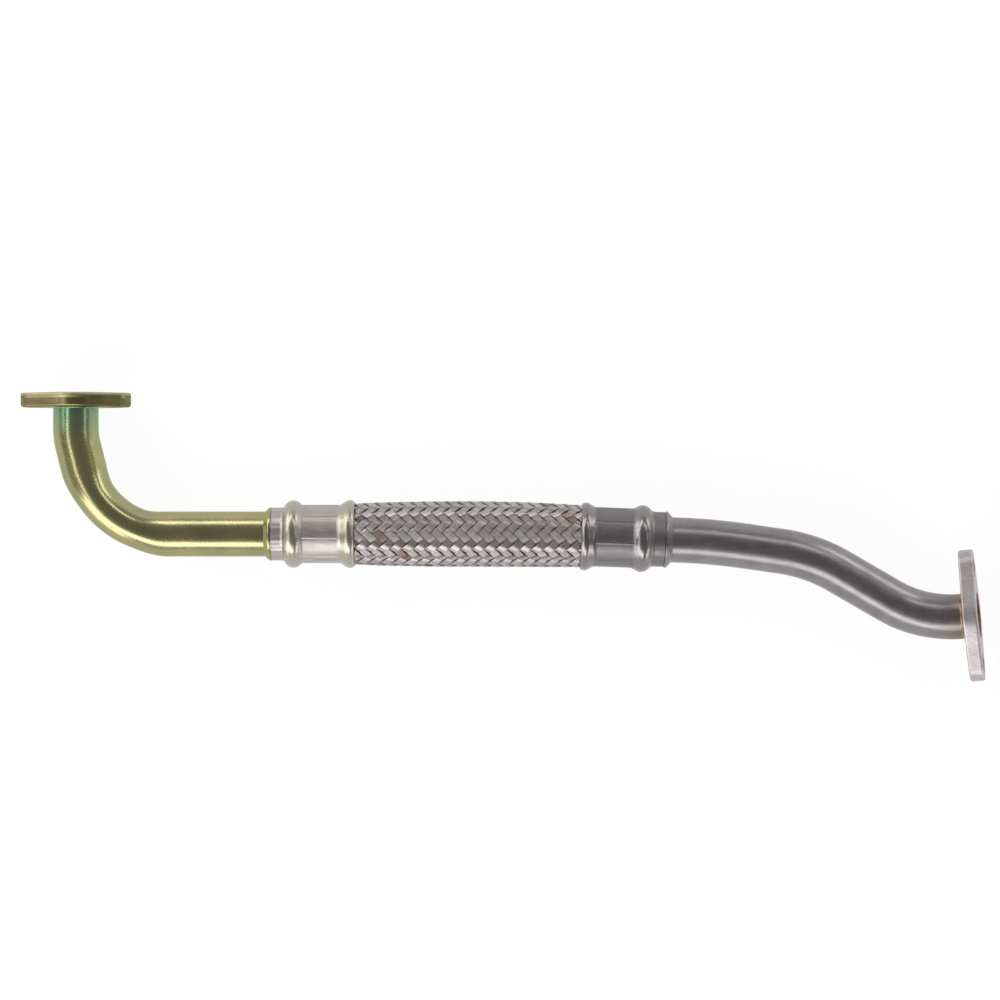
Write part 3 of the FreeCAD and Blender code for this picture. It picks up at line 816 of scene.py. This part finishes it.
@dataclass(frozen=True)
class YellowZincPlate(Finish):
    """Steel plated with zinc and passivated yellow: a thin film that shifts from gold to olive and green."""
    name: str
    green_start: float = 36.0       # where the greener film near the flange begins, in millimetres along Y
    green_end: float = 58.0
    patch: float = 13.0             # size of the film's patches, in millimetres
    grain: float = 0.45             # size of the plating's grain, coarser than real so that it shows
    roughness: float = 0.23

    def shader(self, tree: bpy.types.NodeTree) -> bpy.types.Node:
        """The shader, on Object coordinates."""
        place = add(tree, "TexCoord").outputs["Object"]
        patch = add(tree, "TexNoise", {"Vector": place, "Scale": 1 / (self.patch * MM), "Detail": 3.0})
        film = add(tree, "ValToRGB", {"Fac": patch},
                   stops=[(0.3, "#929069"), (0.62, "#a69d6e")])
        height = add(tree, "SeparateXYZ", {"Vector": place})
        near = add(tree, "MapRange", {
            "Value": height.outputs["Y"], "From Min": self.green_start * MM, "From Max": self.green_end * MM},
            interpolation_type="SMOOTHSTEP")
        colour = add(tree, "Mix", {0: near, 6: film, 7: "#6c9a78"},
                     data_type="RGBA")
        grain = add(tree, "TexNoise", {"Vector": place, "Scale": 1 / (self.grain * MM), "Detail": 2.0})
        rough = add(tree, "MapRange", {
            "Value": grain, "From Min": 0.3, "From Max": 0.7,
            "To Min": self.roughness - 0.05, "To Max": self.roughness + 0.07})
        bump = add(tree, "Bump", {
            "Height": grain, "Strength": 0.25, "Distance": 0.03 * MM})
        return add(tree, "BsdfPrincipled", {
            "Base Color": colour.outputs[2], "Metallic": 1.0, "Roughness": rough,
            "Specular Tint": "#c6d8b4", "Coat Weight": 0.5, "Coat Roughness": 0.15,
            "Normal": bump})


@dataclass(frozen=True)
class PlatedBlank(Finish):
    """Punched steel plate, zinc plated: its rim has a punched edge's burnished band and dull break."""
    name: str = "punched_zinc_plated_steel"
    face: float = 60.6              # the gasket face, in millimetres along Y
    burnish_start: float = 1.2      # from the face to the burnished band
    burnish_width: float = 1.1
    burnish_drop: float = 0.42      # how far the band draws in
    grain: float = 0.5              # coarser than real so that it shows

    def shader(self, tree: bpy.types.NodeTree) -> bpy.types.Node:
        """The shader, on Object coordinates."""
        place = add(tree, "TexCoord").outputs["Object"]
        grain = add(tree, "TexNoise", {"Vector": place, "Scale": 1 / (self.grain * MM), "Detail": 3.0})
        patch = add(tree, "TexNoise", {"Vector": place, "Scale": 1 / (9 * MM), "Detail": 2.0})
        film = add(tree, "ValToRGB", {"Fac": patch},
                   stops=[(0.35, "#746c4c"), (0.6, "#857a56")])
        axis = add(tree, "SeparateXYZ", {"Vector": place})
        top = self.face - self.burnish_start
        band = add(tree, "MapRange", {
            "Value": axis.outputs["Y"], "From Min": (top - self.burnish_width) * MM, "From Max": top * MM})
        dull = add(tree, "MapRange", {
            "Value": axis.outputs["Y"], "From Min": (top - 0.1) * MM, "From Max": (top + 0.3) * MM})
        colour = add(tree, "Mix", {0: dull, 6: film, 7: "#a5a385"},
                     data_type="RGBA")
        rough = add(tree, "MapRange", {"Value": dull, "To Min": 0.3, "To Max": 0.5})
        drop = add(tree, "Bump", {"Height": band, "Strength": 1.0,
                                            "Distance": self.burnish_drop * MM})
        bump = add(tree, "Bump", {"Height": grain, "Strength": 0.5,
                                            "Distance": 0.05 * MM, "Normal": drop})
        return add(tree, "BsdfPrincipled", {
            "Base Color": colour.outputs[2], "Metallic": 1.0, "Roughness": rough,
            "Specular Tint": "#c6d8b4", "Normal": bump})


@dataclass(frozen=True)
class CrimpedSteel(Finish):
    """Turned steel crimped by jaws: its beads keep their gloss, and its neck and waist are scratched bare."""
    name: str
    ferrule: CrimpedFerrule
    gloss: str
    bare: str
    gloss_roughness: float
    bare_roughness: float
    scratch: float = 0.3            # width of a scratch, coarser than real so that it shows
    scratch_length: float = 9.0

    def shader(self, tree: bpy.types.NodeTree) -> bpy.types.Node:
        """The shader, on the ferrule's own UV map: U along the axis, V around it."""
        f = self.ferrule
        place = add(tree, "UVMap", uv_map="surface")
        zone = add(tree, "SeparateXYZ", {"Vector": place})
        share = add(tree, "MapRange", {"Value": zone.outputs["X"], "From Max": f.length * MM})
        soft = 0.5 / f.length
        edges = [f.neck_length / f.length, f.waist_start / f.length, f.waist_end / f.length]
        glossy = add(tree, "ValToRGB", {"Fac": share}, stops=[
            (edges[0] - soft, "#000000"), (edges[0] + soft, "#ffffff"), (edges[1] - soft, "#ffffff"),
            (edges[1] + soft, "#000000"), (edges[2] - soft, "#000000"), (edges[2] + soft, "#ffffff")])
        stretched = add(tree, "Mapping", {
            "Vector": place, "Scale": (1 / (self.scratch_length * MM), 1 / (self.scratch * MM), 1.0)})
        scratch = add(tree, "TexNoise", {"Vector": stretched, "Scale": 1.0,
                                                   "Detail": 4.0, "Roughness": 0.6})
        blotch = add(tree, "TexNoise", {"Vector": place, "Scale": 1 / (4 * MM), "Detail": 3.0})
        tint = add(tree, "Mix", {0: glossy, 6: self.bare, 7: self.gloss},
                   data_type="RGBA")
        worn = add(tree, "ValToRGB", {"Fac": scratch},
                   stops=[(0.3, "#b9b6b4"), (0.62, "#ffffff")])
        colour = add(tree, "Mix", {0: 0.6, 6: tint.outputs[2], 7: worn},
                     data_type="RGBA", blend_type="MULTIPLY")
        plain = add(tree, "MapRange", {
            "Value": blotch, "From Min": 0.3, "From Max": 0.7,
            "To Min": self.bare_roughness - 0.05, "To Max": self.bare_roughness + 0.08})
        rough = add(tree, "Mix", {0: glossy, 2: plain,
                                            3: self.gloss_roughness})
        height = add(tree, "Mix", {0: glossy, 2: scratch,
                                             3: blotch})
        depth = add(tree, "MapRange", {"Value": glossy, "To Min": 0.5, "To Max": 0.15})
        bump = add(tree, "Bump", {"Height": height, "Strength": depth,
                                            "Distance": 0.05 * MM})
        return add(tree, "BsdfPrincipled", {
            "Base Color": colour.outputs[2], "Metallic": 1.0, "Roughness": rough,
            "Normal": bump})


@dataclass(frozen=True)
class DrawnWire(Finish):
    """Bright drawn steel wire, laid side by side in bands, one of them stained brown by the drawing soap."""
    name: str = "bright_drawn_steel_wire"
    bright: str = "#b6b0ae"
    dull: str = "#a39d9b"
    stained: str = "#93807a"

    def shader(self, tree: bpy.types.NodeTree) -> bpy.types.Node:
        """The shader, on the bands' UV map and their tone."""
        place = add(tree, "UVMap", uv_map="surface")
        tangent = add(tree, "Tangent", direction_type="UV_MAP", uv_map="surface")
        tone = add(tree, "Attribute", attribute_name="tone")
        colour = add(tree, "ValToRGB", {"Fac": tone.outputs["Fac"]}, stops=[
            (0.0, self.bright), (0.85, self.dull), (0.95, self.stained)])
        stretched = add(tree, "Mapping", {
            "Vector": place, "Scale": (1 / (6 * MM), 1 / (0.35 * MM), 1.0)})
        streak = add(tree, "TexNoise", {"Vector": stretched, "Scale": 1.0,
                                                  "Detail": 2.0})
        shade = add(tree, "ValToRGB", {"Fac": streak},
                    stops=[(0.3, "#d2d0cf"), (0.55, "#ffffff")])
        mixed = add(tree, "Mix", {0: 0.6, 6: colour, 7: shade},
                    data_type="RGBA", blend_type="MULTIPLY")
        rough = add(tree, "MapRange", {
            "Value": streak, "From Min": 0.3, "From Max": 0.7, "To Min": 0.34, "To Max": 0.4})
        bump = add(tree, "Bump", {"Height": streak, "Strength": 0.2,
                                            "Distance": 0.01 * MM})
        return add(tree, "BsdfPrincipled", {
            "Base Color": mixed.outputs[2], "Metallic": 1.0, "Roughness": rough,
            "Anisotropic": 1.0, "Anisotropic Rotation": 0.25, "Tangent": tangent,
            "Normal": bump})


@dataclass(frozen=True)
class SatinStainless(Finish):
    """Drawn stainless tube, satin: fine lines along the tube, browned by the brazing heat near the flange."""
    name: str = "satin_drawn_stainless_tube"
    tint_start: float = 178.0       # where the heat tint begins, in millimetres along X
    tint_end: float = 194.0

    def shader(self, tree: bpy.types.NodeTree) -> bpy.types.Node:
        """The shader, on the tube's UV map, with the heat tint on Object coordinates."""
        place = add(tree, "UVMap", uv_map="surface")
        stretched = add(tree, "Mapping", {
            "Vector": place, "Scale": (1 / (14 * MM), 1 / (0.5 * MM), 1.0)})
        line = add(tree, "TexNoise", {"Vector": stretched, "Scale": 1.0,
                                                "Detail": 4.0})
        blotch = add(tree, "TexNoise", {"Vector": place, "Scale": 1 / (6 * MM), "Detail": 3.0})
        base = add(tree, "ValToRGB", {"Fac": blotch},
                   stops=[(0.3, "#817c7e"), (0.7, "#8f8a8c")])
        position = add(tree, "TexCoord")
        along = add(tree, "SeparateXYZ", {"Vector": position.outputs["Object"]})
        heat = add(tree, "MapRange", {
            "Value": along.outputs["X"], "From Min": self.tint_start * MM, "From Max": self.tint_end * MM},
            interpolation_type="SMOOTHSTEP")
        colour = add(tree, "Mix", {0: heat, 6: base, 7: "#787068"},
                     data_type="RGBA")
        rough = add(tree, "MapRange", {
            "Value": line, "From Min": 0.3, "From Max": 0.7, "To Min": 0.27, "To Max": 0.4})
        bump = add(tree, "Bump", {"Height": line, "Strength": 0.3,
                                            "Distance": 0.03 * MM})
        return add(tree, "BsdfPrincipled", {
            "Base Color": colour.outputs[2], "Metallic": 1.0, "Roughness": rough,
            "Normal": bump})


@dataclass(frozen=True)
class BlastedSteel(Finish):
    """Steel plate cut and blasted: pale, matte and finely grained."""
    name: str = "blasted_steel_plate"
    grain: float = 0.5              # coarser than real so that it shows

    def shader(self, tree: bpy.types.NodeTree) -> bpy.types.Node:
        """The shader, on Object coordinates."""
        place = add(tree, "TexCoord").outputs["Object"]
        grain = add(tree, "TexNoise", {"Vector": place, "Scale": 1 / (self.grain * MM), "Detail": 3.0})
        blotch = add(tree, "TexNoise", {"Vector": place, "Scale": 1 / (7 * MM), "Detail": 3.0})
        base = add(tree, "ValToRGB", {"Fac": blotch},
                   stops=[(0.3, "#b2a9a9"), (0.7, "#c6bebe")])
        drawn = add(tree, "Mapping", {
            "Vector": place, "Scale": (1 / (7 * MM), 1 / (0.5 * MM), 1 / (0.5 * MM))})
        line = add(tree, "TexNoise", {"Vector": drawn, "Scale": 1.0, "Detail": 3.0})
        marks = add(tree, "Mix", {0: 0.6, 2: grain, 3: line})
        fleck = add(tree, "ValToRGB", {"Fac": marks},
                    stops=[(0.36, "#d2d0d0"), (0.6, "#ffffff")])
        colour = add(tree, "Mix", {0: 0.7, 6: base, 7: fleck},
                     data_type="RGBA", blend_type="MULTIPLY")
        bump = add(tree, "Bump", {"Height": marks, "Strength": 0.5,
                                            "Distance": 0.05 * MM})
        return add(tree, "BsdfPrincipled", {
            "Base Color": colour.outputs[2], "Metallic": 1.0, "Roughness": 0.42, "Normal": bump})


@dataclass(frozen=True)
class BrazeMetal(Finish):
    """Braze as it cooled: copper-orange, brown with oxide in patches."""
    name: str
    clean: str
    oxide: str
    roughness: float = 0.35

    def shader(self, tree: bpy.types.NodeTree) -> bpy.types.Node:
        """The shader, on Object coordinates."""
        place = add(tree, "TexCoord").outputs["Object"]
        flow = add(tree, "TexNoise", {"Vector": place, "Scale": 1 / (2.5 * MM), "Detail": 4.0})
        colour = add(tree, "ValToRGB", {"Fac": flow},
                     stops=[(0.38, self.oxide), (0.6, self.clean)])
        bump = add(tree, "Bump", {"Height": flow, "Strength": 0.6,
                                            "Distance": 0.2 * MM})
        return add(tree, "BsdfPrincipled", {
            "Base Color": colour, "Metallic": 1.0, "Roughness": self.roughness,
            "Normal": bump})


@dataclass(frozen=True)
class LinerRubber(Finish):
    """Extruded black rubber: matte, with faint lines along the hose."""
    name: str = "extruded_black_rubber"

    def shader(self, tree: bpy.types.NodeTree) -> bpy.types.Node:
        """The shader, on Object coordinates."""
        place = add(tree, "TexCoord").outputs["Object"]
        stretched = add(tree, "Mapping", {
            "Vector": place, "Scale": (1 / (12 * MM), 1 / (0.8 * MM), 1 / (0.8 * MM))})
        line = add(tree, "TexNoise", {"Vector": stretched, "Scale": 1.0})
        colour = add(tree, "ValToRGB", {"Fac": line},
                     stops=[(0.3, "#121212"), (0.7, "#202020")])
        return add(tree, "BsdfPrincipled", {"Base Color": colour,
                                                        "Roughness": 0.6})


@dataclass
class Studio:
    """A white floor and sky, soft boxes round the pipe, and the camera looking straight down."""
    camera_place: tuple[float, float, float] = (-1.78, 15.68, 1086.5)
    lens: float = 91.9
    sensor: float = 36.0
    box_distance: float = 1200.0
    floor_half: float = 2500.0

    def soft_box(self, name: str, azimuth: float, tilt: float, size: tuple[float, float],
                 radiance: float) -> None:
        """One lamp beside the pipe, aimed at it.

        Args:
            name: The lamp's name.
            azimuth: Degrees from +X towards +Y to the lamp.
            tilt: Degrees from straight up to the lamp's middle.
            size: Its level side and its other side, in millimetres.
            radiance: How bright its face is, where 1 is a white floor.
        """
        lamp = bpy.data.lights.new(name, "AREA")
        lamp.shape = "RECTANGLE"
        lamp.size = size[0] * MM
        lamp.size_y = size[1] * MM
        lamp.energy = radiance * math.pi * lamp.size * lamp.size_y
        stand = bpy.data.objects.new(name, lamp)
        t, a = math.radians(tilt), math.radians(azimuth)
        place = np.array([math.sin(t) * math.cos(a), math.sin(t) * math.sin(a), math.cos(t)])
        stand.location = (place * self.box_distance * MM).tolist()
        stand.rotation_euler = (-t, 0.0, a - math.pi / 2)
        bpy.context.scene.collection.objects.link(stand)

    def floor(self) -> None:
        """A white floor that the camera and the metal see as white, and that keeps the pipe's shadow."""
        h = self.floor_half * MM
        mesh = bpy.data.meshes.new("floor")
        mesh.from_pydata([(-h, -h, 0), (h, -h, 0), (h, h, 0), (-h, h, 0)], [], [(0, 1, 2, 3)])
        plane = bpy.data.objects.new("floor", mesh)
        bpy.context.scene.collection.objects.link(plane)
        material = new_material("white_floor")
        tree = material.node_tree
        path = add(tree, "LightPath")
        seen = add(tree, "Math", {0: path.outputs["Is Camera Ray"], 1: path.outputs["Is Glossy Ray"]},
                   operation="MAXIMUM")
        shown = add(tree, "Math", {0: seen, 1: path.outputs["Is Transmission Ray"]},
                    operation="MAXIMUM")
        share = add(tree, "Math", {0: shown, 1: 0.9}, operation="MULTIPLY")
        matte = add(tree, "BsdfDiffuse", {"Color": "#f4f4f4"})
        white = add(tree, "Emission", {"Color": "#ffffff", "Strength": 1.03})
        mix = add(tree, "MixShader", {0: share, 1: matte, 2: white})
        add(tree, "OutputMaterial", {"Surface": mix})
        dress(plane, material)

    def sky(self) -> None:
        """A room that is white at the horizon and dim overhead, where the camera is."""
        world = bpy.data.worlds.new("studio")
        bpy.context.scene.world = world
        world.use_nodes = True
        tree = world.node_tree
        tree.nodes.clear()
        ray = add(tree, "TexCoord").outputs["Generated"]
        height = add(tree, "SeparateXYZ", {"Vector": ray})
        shade = add(tree, "ValToRGB", {"Fac": height.outputs["Z"]}, stops=[
            (0.06, "#ffffff"), (0.3, "#969696"), (0.8, "#848484")])
        glow = add(tree, "Background", {"Color": shade, "Strength": 1.0})
        add(tree, "OutputWorld", {"Surface": glow})

    def camera(self) -> None:
        """The camera, straight above the pipe, with +Y up in its picture."""
        data = bpy.data.cameras.new("camera")
        data.lens = self.lens
        data.sensor_width = self.sensor
        data.clip_end = 20.0
        camera = bpy.data.objects.new("camera", data)
        camera.location = tuple(value * MM for value in self.camera_place)
        bpy.context.scene.collection.objects.link(camera)
        bpy.context.scene.camera = camera

    def build(self) -> None:
        """Sets the whole studio."""
        scene = bpy.context.scene
        scene.view_settings.view_transform = "Standard"
        self.camera()
        self.floor()
        self.sky()
        self.soft_box("soft_box_near", -118.0, 54.0, (1700.0, 480.0), 3.8)
        self.soft_box("soft_box_far", 134.0, 58.0, (1700.0, 300.0), 3.6)
        self.soft_box("soft_box_far_right", 60.0, 50.0, (800.0, 150.0), 3.8)
        self.soft_box("soft_box_right", 6.0, 51.0, (420.0, 130.0), 2.2)
        self.soft_box("soft_box_left", 180.0, 41.0, (800.0, 170.0), 2.8)
        for azimuth in (-142.0, 142.0, -40.0, 40.0):
            self.soft_box(f"low_box_{azimuth:.0f}", azimuth, 77.0, (620.0, 260.0), 3.2)


def inlet_line(hose: HoseLine, tail: HoseTail) -> BendingTable:
    """The inlet tube's centre line, from its tail in the hose to its end in the flange."""
    line = BendingTable(hose.datum + np.array([tail.end, 0, 0]), np.array([-1.0, 0, 0]))
    line.run(tail.end + 43.5)
    line.bend_to(104.07, 0.0, 36.7, press=1.1, spread=0.5)
    line.run(9.8)
    line.bend_to(90.0, 0.0, 29.3)
    line.run(8.8 + FLANGE_THICKNESS - TUBE_SETBACK)
    return line


def outlet_line(hose: HoseLine, tail: HoseTail, datum: float) -> BendingTable:
    """The outlet tube's centre line, from its tail in the hose to its end in the flange."""
    points, headings = hose.at(np.array([datum - tail.end]))
    line = BendingTable(points[0], headings[0])
    line.run(tail.end + 6.3)
    line.bend_to(-8.2, 0.0, 271.5)
    line.run(14.8)
    line.bend_to(-29.9, -5.15, 66.7)
    line.run(25.0)
    line.bend_to(5.6, 14.0, 45.0)
    line.run(1.3 + FLANGE_THICKNESS - TUBE_SETBACK)
    return line


def main() -> None:
    """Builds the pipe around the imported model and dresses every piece."""
    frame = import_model()
    nodes = frame["nodes"]
    Studio().build()
    low, high = (np.array(corner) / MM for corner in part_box("inlet_ferrule"))
    hose = HoseLine(np.array([low[0], (low[1] + high[1]) / 2, (low[2] + high[2]) / 2]))
    inlet_ferrule = CrimpedFerrule(
        "inlet_ferrule", neck_length=5.2, bulge_length=7.4, waist_length=16.0, flare_length=6.3,
        neck_radius=11.1, bulge_radius=14.15, waist_radius=12.15, flare_radius=14.25, mouth_radius=12.9,
        ridge_turn=-7.0)
    outlet_ferrule = CrimpedFerrule(
        "outlet_ferrule", neck_length=5.55, bulge_length=7.3, waist_length=16.65, flare_length=5.6,
        neck_radius=11.5, bulge_radius=14.05, waist_radius=12.5, flare_radius=14.25, mouth_radius=13.1,
        ridge_turn=11.0, flute_depth=0.02)
    tail = HoseTail()
    outlet_datum = hose.outlet_mouth + outlet_ferrule.length
    points, headings = hose.at(np.array([outlet_datum]))

    crimped_zinc = CrimpedSteel("crimped_zinc_plated_steel", inlet_ferrule, gloss="#b3af9f", bare="#b6b0ac",
                                gloss_roughness=0.31, bare_roughness=0.42)
    crimped_bare = CrimpedSteel("crimped_stainless_steel", outlet_ferrule, gloss="#8f8a89", bare="#827e7f",
                                gloss_roughness=0.27, bare_roughness=0.42)
    zinc = YellowZincPlate("yellow_passivated_zinc_plate").material()
    stainless = SatinStainless().material()
    pieces = [inlet_ferrule.build(hose.datum, np.array([1.0, 0, 0])),
              outlet_ferrule.build(points[0], -headings[0]),
              BentTube("inlet_tube", inlet_line(hose, tail), StopBead(11.2, 2.9), inlet_ferrule.neck_length,
                       tail).build(),
              BentTube("outlet_tube", outlet_line(hose, tail, outlet_datum), StopBead(11.85, 3.1),
                       outlet_ferrule.neck_length, tail).build()]
    finishes = (crimped_zinc.material(), crimped_bare.material(), zinc, stainless)
    slots = ("bright_ferrule", "stainless", "yellow_zinc", "stainless")
    for piece, finish, slot in zip(pieces, finishes, slots):
        dress(piece, finish)
    wire = DrawnWire().material()
    for piece in WireBraid(hose, inlet_ferrule, outlet_ferrule).build():
        dress(piece, wire)
        pieces.append(piece)
    for node, finish in (
            ("inlet_flange", PlatedBlank()), ("outlet_flange", BlastedSteel()),
            ("inlet_braze", BrazeMetal("plated_over_braze", "#8fa07c", "#6f7a55")),
            ("outlet_braze", BrazeMetal("copper_braze", "#a07860", "#705646")),
            ("hose_liner", LinerRubber())):
        dress(nodes[node], finish.material())
    for piece in pieces:
        LOG.info("%s: %d vertices", piece.name, len(piece.data.vertices))


if __name__ == "__main__":
    logging.basicConfig(level=logging.INFO, format="%(message)s")
    main()
